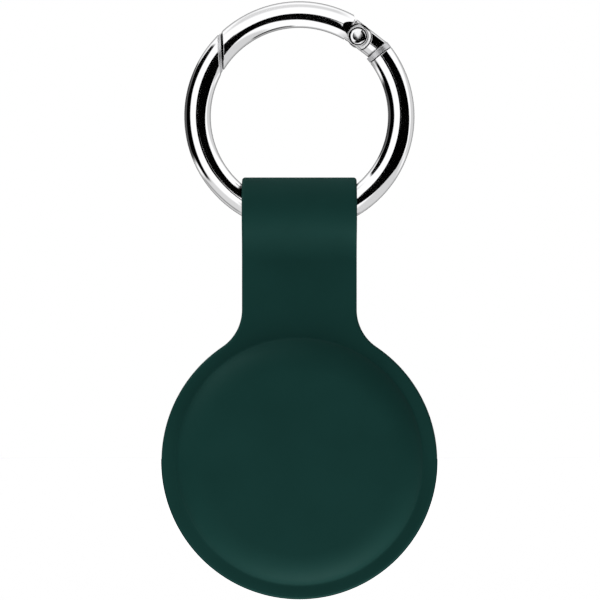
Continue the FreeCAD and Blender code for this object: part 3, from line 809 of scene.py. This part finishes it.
@dataclass
class CoilSpring:
    """The coil spring in the gate's bore, between the plunger and the end of the bore.

    All sizes are in millimetres; places along the bore are counted from the rivet's axis.
    """

    origin: Point = (8.500726, 0.0, 11.530104)
    along: Point = (-0.898794, 0.0, 0.438371)
    first: float = 3.754
    last: float = 7.36
    bore_end: float = 7.5
    travel: float = 0.43
    coil_radius: float = 0.46
    wire_radius: float = 0.11
    turns: int = 5
    turn_steps: int = 32
    wire_steps: int = 12
    smooth_angle: float = 40.0

    def build(self, steel: bpy.types.Material) -> bpy.types.Object:
        """Wind the spring from a ring of points and close the wire's ends.

        Args:
            steel: the spring's finish.

        Returns:
            The finished piece, in metres.
        """
        coil, middle = self.coil_radius, (self.first + self.last) / 2
        spring = Blank("wound_spring", (coil + self.wire_radius, 0, self.first))
        spring.arc((coil, 0, self.first), ALONG_Y, 360, self.wire_steps)
        spring.weld()
        piece = spring.put_down()
        wind = piece.modifiers.new("wind", "SCREW")
        wind.axis = "Z"
        wind.angle = math.tau
        wind.iterations = self.turns
        wind.screw_offset = (self.last - self.first) / self.turns
        wind.steps = self.turn_steps
        wind.render_steps = self.turn_steps
        bpy.ops.object.modifier_apply(modifier=wind.name)
        bpy.ops.object.mode_set(mode="EDIT")
        spring.weld()
        spring.fill_hole(lambda p: p.z < middle)
        spring.fill_hole(lambda p: p.z > middle)
        bpy.ops.mesh.select_all(action="SELECT")
        lean = math.atan2(self.along[0], self.along[2])
        bpy.ops.transform.rotate(value=-lean, orient_axis="Y", center_override=ORIGIN)
        bpy.ops.transform.translate(value=self.origin)
        return spring.finish(steel, self.smooth_angle)

    def shorten(self, piece: bpy.types.Object) -> None:
        """Give the spring a mesh of its own; the coil is not shortened here."""
        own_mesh(piece)


@dataclass(frozen=True)
class Flag:
    """A dark card that the chrome shows, as a convex outline in the space of the normals that reflect it.

    The first axis of that space is the frame's X and the second its Z; the camera's view is its middle.
    """

    corners: tuple[Flat, ...]
    depth: float
    soft: float


# A large black board to the right of the camera, and its lower tip.
RIGHT_BOARD = Flag(
    ((-0.14, -0.24), (0.55, -0.26), (0.62, -0.20), (0.645, -0.12), (0.60, 0.03), (0.50, 0.24), (0.33, 0.385),
     (0.21, 0.395), (0.0, 0.015)),
    depth=1.0, soft=0.005)
BOARD_TIP = Flag(
    ((-0.13, -0.17), (-0.26, -0.40), (-0.10, -0.46), (0.05, -0.40), (0.22, -0.20)), depth=1.0, soft=0.02)
# A wedge of it that reaches past the camera to the left.
BOARD_WEDGE = Flag(
    ((0.022, 0.018), (-0.09, 0.138), (-0.125, 0.06), (-0.10, -0.034), (0.02, 0.0)), depth=1.0, soft=0.004)
# A strip above it that the straight end of the wire at the hinge shows, and its narrow tail.
HINGE_STRIP = Flag(
    ((0.08, 0.12), (0.17, 0.30), (0.26, 0.43), (0.36, 0.43), (0.32, 0.36)), depth=1.0, soft=0.02)
HINGE_TAIL = Flag(
    ((0.19, 0.35), (0.245, 0.31), (0.52, 0.66), (0.45, 0.71)), depth=1.0, soft=0.01)
# A narrow black board to the left that leans over at its top, and the dim wall beyond it.
LEFT_BOARD = Flag(
    ((-0.84, -0.22), (-0.62, -0.38), (-0.48, -0.32), (-0.55, 0.22), (-0.82, 0.22)), depth=1.0, soft=0.025)
LEFT_TOP = Flag(
    ((-0.82, 0.12), (-0.58, 0.10), (-0.46, 0.30), (-0.455, 0.42), (-0.61, 0.54), (-0.77, 0.42)),
    depth=1.0, soft=0.02)
LEFT_WALL = Flag(
    ((-0.97, -0.25), (-0.78, -0.32), (-0.78, 0.52), (-0.86, 0.56), (-0.96, 0.30)), depth=0.88, soft=0.03)
# The dark edge of the table, and a rail at its left.
TABLE_EDGE = Flag(
    ((0.06, -0.83), (0.06, -0.90), (0.30, -0.87), (0.50, -0.77), (0.46, -0.70), (0.30, -0.74)),
    depth=0.95, soft=0.035)
TABLE_RAIL = Flag(
    ((-0.80, -0.44), (-0.72, -0.42), (-0.42, -0.66), (-0.48, -0.74)), depth=0.65, soft=0.05)
# Pale greys of the ceiling, the table and the right wall.
CEILING = Flag(
    ((-0.45, 0.50), (0.25, 0.55), (0.30, 0.74), (-0.40, 0.76)), depth=0.32, soft=0.06)
TABLE_LEFT = Flag(
    ((-0.50, -0.24), (-0.22, -0.32), (-0.40, -0.78), (-0.78, -0.44)), depth=0.33, soft=0.05)
TABLE_RIGHT = Flag(
    ((0.28, -0.24), (0.72, -0.22), (0.78, -0.46), (0.52, -0.76), (0.26, -0.70)), depth=0.37, soft=0.05)
RIGHT_WALL = Flag(
    ((0.62, 0.50), (0.70, 0.0), (0.68, -0.25), (0.84, -0.25), (0.90, 0.05), (0.76, 0.52)),
    depth=0.38, soft=0.05)


@dataclass(frozen=True)
class Softbox:
    """A soft light in the room, and its like on the other side of the object."""

    towards: Point
    strength: float


@dataclass(frozen=True)
class Fade:
    """A drop in what the chrome shows where its faces turn away, between two depths of their normals."""

    start: float
    end: float
    kept: float


@dataclass
class Studio:
    """The white room: soft light from above and below, dark boards for the chrome, a floor and the camera.

    A softbox fades from its full part to its edge, which are cosines of the angle from its middle. The places
    of the camera and the floor are in millimetres.
    """

    ambient: float = 0.245
    facing: float = 0.47
    softboxes: tuple[Softbox, ...] = (
        Softbox(towards=(-0.5, 0.0, 0.87), strength=4.2),
        Softbox(towards=(0.47, -0.37, -0.81), strength=1.16),
        Softbox(towards=(0.0, -0.7, -0.71), strength=1.1),
        Softbox(towards=(0.1, 0.0, -1.0), strength=4.6))
    box_edge: float = 0.80
    box_full: float = 0.94
    mirror_white: float = 1.1
    fades: tuple[Fade, ...] = (
        Fade(start=-0.54, end=-0.36, kept=0.42),
        Fade(start=-0.30, end=-0.12, kept=0.2))
    flags: tuple[Flag, ...] = (
        RIGHT_BOARD, BOARD_TIP, BOARD_WEDGE, HINGE_STRIP, HINGE_TAIL, LEFT_BOARD, LEFT_TOP, LEFT_WALL,
        TABLE_EDGE, TABLE_RAIL, CEILING, TABLE_LEFT, TABLE_RIGHT, RIGHT_WALL)
    floor_z: float = -88.0
    floor_size: float = 1600.0
    paper: str = "#F4F4F4"
    camera_distance: float = 485.0
    camera_lens: float = 200.0
    camera_sensor: float = 36.0
    clip_near: float = 10.0
    clip_far: float = 20000.0
    aim_x: float = 0.094
    aim_z: float = -26.71

    def light(self) -> None:
        """Give the world its white, its soft light and what the chrome shows."""
        world = bpy.data.worlds.new("white_studio")
        bpy.context.scene.world = world
        world.use_nodes = True
        tree = world.node_tree
        tree.nodes.clear()
        way = add_node(tree, "ShaderNodeTexCoord").outputs["Generated"]
        path = add_node(tree, "ShaderNodeLightPath").outputs
        white = linear(WHITE)
        glow = self.glow(tree, way)
        mirrored = self.mirrored(tree, way)
        soft = add_node(tree, "ShaderNodeBackground", {"Color": white, "Strength": glow})
        mirror = add_node(tree, "ShaderNodeBackground", {"Color": white, "Strength": mirrored})
        blank = add_node(tree, "ShaderNodeBackground", {"Color": white, "Strength": 1.0})
        shown = add_node(
            tree, "ShaderNodeMath", {0: path["Is Camera Ray"], 1: path["Is Transmission Ray"]},
            operation="MAXIMUM")
        lit = add_node(
            tree, "ShaderNodeMixShader",
            {0: path["Is Glossy Ray"], 1: soft.outputs["Background"], 2: mirror.outputs["Background"]})
        seen = add_node(
            tree, "ShaderNodeMixShader",
            {0: shown.outputs["Value"], 1: lit.outputs["Shader"], 2: blank.outputs["Background"]})
        add_node(tree, "ShaderNodeOutputWorld", {"Surface": seen.outputs["Shader"]})

    def glow(self, tree: bpy.types.NodeTree, way: bpy.types.NodeSocket) -> bpy.types.NodeSocket:
        """Work out the soft light by direction, the same in front of the object and behind it.

        Args:
            tree: the world's nodes.
            way: the direction that is looked in.

        Returns:
            The light's strength.
        """
        parts = add_node(tree, "ShaderNodeSeparateXYZ", {0: way}).outputs
        depth = add_node(tree, "ShaderNodeMath", {0: parts["Y"]}, operation="ABSOLUTE").outputs["Value"]
        folded = add_node(tree, "ShaderNodeCombineXYZ", {"X": parts["X"], "Y": depth, "Z": parts["Z"]})
        square = add_node(tree, "ShaderNodeMath", {0: depth, 1: depth}, operation="MULTIPLY")
        level = add_node(
            tree, "ShaderNodeMath", {0: square.outputs["Value"], 1: self.facing, 2: self.ambient},
            operation="MULTIPLY_ADD").outputs["Value"]
        for box in self.softboxes:
            aim = Vector((box.towards[0], -box.towards[1], box.towards[2])).normalized()
            near = add_node(
                tree, "ShaderNodeVectorMath", {0: folded.outputs["Vector"], 1: aim}, operation="DOT_PRODUCT")
            light = add_node(
                tree, "ShaderNodeMapRange",
                {"Value": near.outputs["Value"], "From Min": self.box_edge, "From Max": self.box_full,
                 "To Min": 0.0, "To Max": box.strength}, interpolation_type="SMOOTHSTEP")
            level = add_node(
                tree, "ShaderNodeMath", {0: level, 1: light.outputs["Result"]},
                operation="ADD").outputs["Value"]
        return level

    def mirrored(self, tree: bpy.types.NodeTree, way: bpy.types.NodeSocket) -> bpy.types.NodeSocket:
        """Work out what a mirror shows by direction: white, dimmer behind the object, with the dark boards.

        Args:
            tree: the world's nodes.
            way: the direction that is looked in.

        Returns:
            The strength of what is mirrored.
        """
        half = add_node(tree, "ShaderNodeVectorMath", {0: way, 1: ALONG_Y}, operation="SUBTRACT")
        normal = add_node(
            tree, "ShaderNodeVectorMath", {0: half.outputs["Vector"]},
            operation="NORMALIZE").outputs["Vector"]
        turned = add_node(tree, "ShaderNodeSeparateXYZ", {0: normal})
        level: Any = self.mirror_white
        for fade in self.fades:
            share = add_node(
                tree, "ShaderNodeMapRange",
                {"Value": turned.outputs["Y"], "From Min": fade.start, "From Max": fade.end,
                 "To Min": 1.0, "To Max": fade.kept}, interpolation_type="SMOOTHSTEP")
            level = add_node(
                tree, "ShaderNodeMath", {0: level, 1: share.outputs["Result"]},
                operation="MULTIPLY").outputs["Value"]
        for flag in self.flags:
            cover = self.cover(tree, normal, flag)
            share = add_node(
                tree, "ShaderNodeMath", {0: cover, 1: -flag.depth, 2: 1.0}, operation="MULTIPLY_ADD")
            level = add_node(
                tree, "ShaderNodeMath", {0: level, 1: share.outputs["Value"]},
                operation="MULTIPLY").outputs["Value"]
        return level

    @staticmethod
    def cover(tree: bpy.types.NodeTree, normal: bpy.types.NodeSocket, flag: Flag) -> bpy.types.NodeSocket:
        """Tell how much of a flag covers a direction.

        Args:
            tree: the world's nodes.
            normal: the direction in the space of the normals.
            flag: the dark card.

        Returns:
            The cover, from 0 to 1.
        """
        cover = None
        middle = [sum(c[i] for c in flag.corners) / len(flag.corners) for i in (0, 1)]
        for first, last in zip(flag.corners, flag.corners[1:] + flag.corners[:1]):
            across = (first[1] - last[1], last[0] - first[0])
            size = math.hypot(*across)
            inward = (across[0] / size, across[1] / size)
            border = inward[0] * first[0] + inward[1] * first[1]
            if inward[0] * middle[0] + inward[1] * middle[1] < border:
                inward, border = (-inward[0], -inward[1]), -border
            reach = add_node(
                tree, "ShaderNodeVectorMath", {0: normal, 1: (inward[0], 0, inward[1])},
                operation="DOT_PRODUCT")
            side = add_node(
                tree, "ShaderNodeMapRange",
                {"Value": reach.outputs["Value"], "From Min": border - flag.soft,
                 "From Max": border + flag.soft}, interpolation_type="SMOOTHSTEP").outputs["Result"]
            cover = side if cover is None else add_node(
                tree, "ShaderNodeMath", {0: cover, 1: side}, operation="MULTIPLY").outputs["Value"]
        return cover

    def floor(self) -> bpy.types.Object:
        """Lay the pale floor under the object; it shows nothing but the object's shadow.

        Returns:
            The floor.
        """
        bpy.ops.object.select_all(action="DESELECT")
        bpy.ops.mesh.primitive_plane_add(size=self.floor_size * MM)
        floor = bpy.context.object
        floor.name = "studio_floor"
        bpy.ops.object.mode_set(mode="EDIT")
        bpy.ops.transform.translate(value=(0, 0, self.floor_z * MM))
        bpy.ops.object.mode_set(mode="OBJECT")
        paper = new_material("white_paper")
        sheet = add_node(paper.node_tree, "ShaderNodeBsdfDiffuse", {"Color": linear(self.paper)})
        add_node(paper.node_tree, "ShaderNodeOutputMaterial", {"Surface": sheet.outputs["BSDF"]})
        floor.data.materials.append(paper)
        floor.is_shadow_catcher = True
        floor.visible_diffuse = False
        floor.visible_glossy = False
        floor.visible_shadow = False
        return floor

    def camera(self) -> bpy.types.Object:
        """Set the camera level with the object, square to its front.

        Returns:
            The camera.
        """
        bpy.ops.object.select_all(action="DESELECT")
        bpy.ops.object.camera_add(
            location=(self.aim_x * MM, -self.camera_distance * MM, self.aim_z * MM),
            rotation=(math.pi / 2, 0, 0))
        camera = bpy.context.object
        camera.name = "photo_camera"
        camera.data.lens = self.camera_lens
        camera.data.sensor_width = self.camera_sensor
        camera.data.clip_start = self.clip_near * MM
        camera.data.clip_end = self.clip_far * MM
        bpy.context.scene.camera = camera
        return camera


@dataclass
class SpringRing:
    """The chromed ring with its sprung gate, as the frame has it."""

    nodes: dict[str, bpy.types.Object]
    chrome: bpy.types.Material
    inner: bpy.types.Material

    def dress(self) -> None:
        """Give each metal piece its finish."""
        finishes = {"ring_frame": self.chrome, "ring_gate": self.chrome, "spring_plunger": self.inner}
        for name, finish in finishes.items():
            for slot in self.nodes[name].material_slots:
                slot.material = finish
            keep_from_mirrors(self.nodes[name])
            log.info("%s takes %s", name, finish.name)


def main() -> None:
    """Build the scene on the frame."""
    logging.basicConfig(level=logging.INFO, format="%(name)s: %(message)s")
    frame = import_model()
    bpy.context.scene.view_settings.view_transform = "Standard"

    studio = Studio()
    studio.light()
    studio.camera()
    studio.floor()

    chrome = RING_CHROME.material()
    inner = INNER_STEEL.material()
    SpringRing(frame["nodes"], chrome, inner).dress()

    seat = NoseSeat().build(SEAT_CHROME.material())
    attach(seat, Body.RING.value)
    log.info("%s has %d faces", seat.name, len(seat.data.polygons))

    coil = CoilSpring()
    spring = coil.build(inner)
    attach(spring, Body.GATE.value)
    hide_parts("gate_spring")
    coil.shorten(spring)
    log.info("%s has %d faces", spring.name, len(spring.data.polygons))

    rivet = Rivet().build(RIVET_STEEL.material())
    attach(rivet, Body.GATE.value)
    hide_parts("hinge_rivet")
    log.info("%s has %d faces", rivet.name, len(rivet.data.polygons))

    sleeve = Sleeve().build(MouldedSilicone().material())
    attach(sleeve, Body.HOLDER.value)
    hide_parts("silicone_sleeve")
    log.info("%s has %d faces", sleeve.name, len(sleeve.data.polygons))


if __name__ == "__main__":
    main()
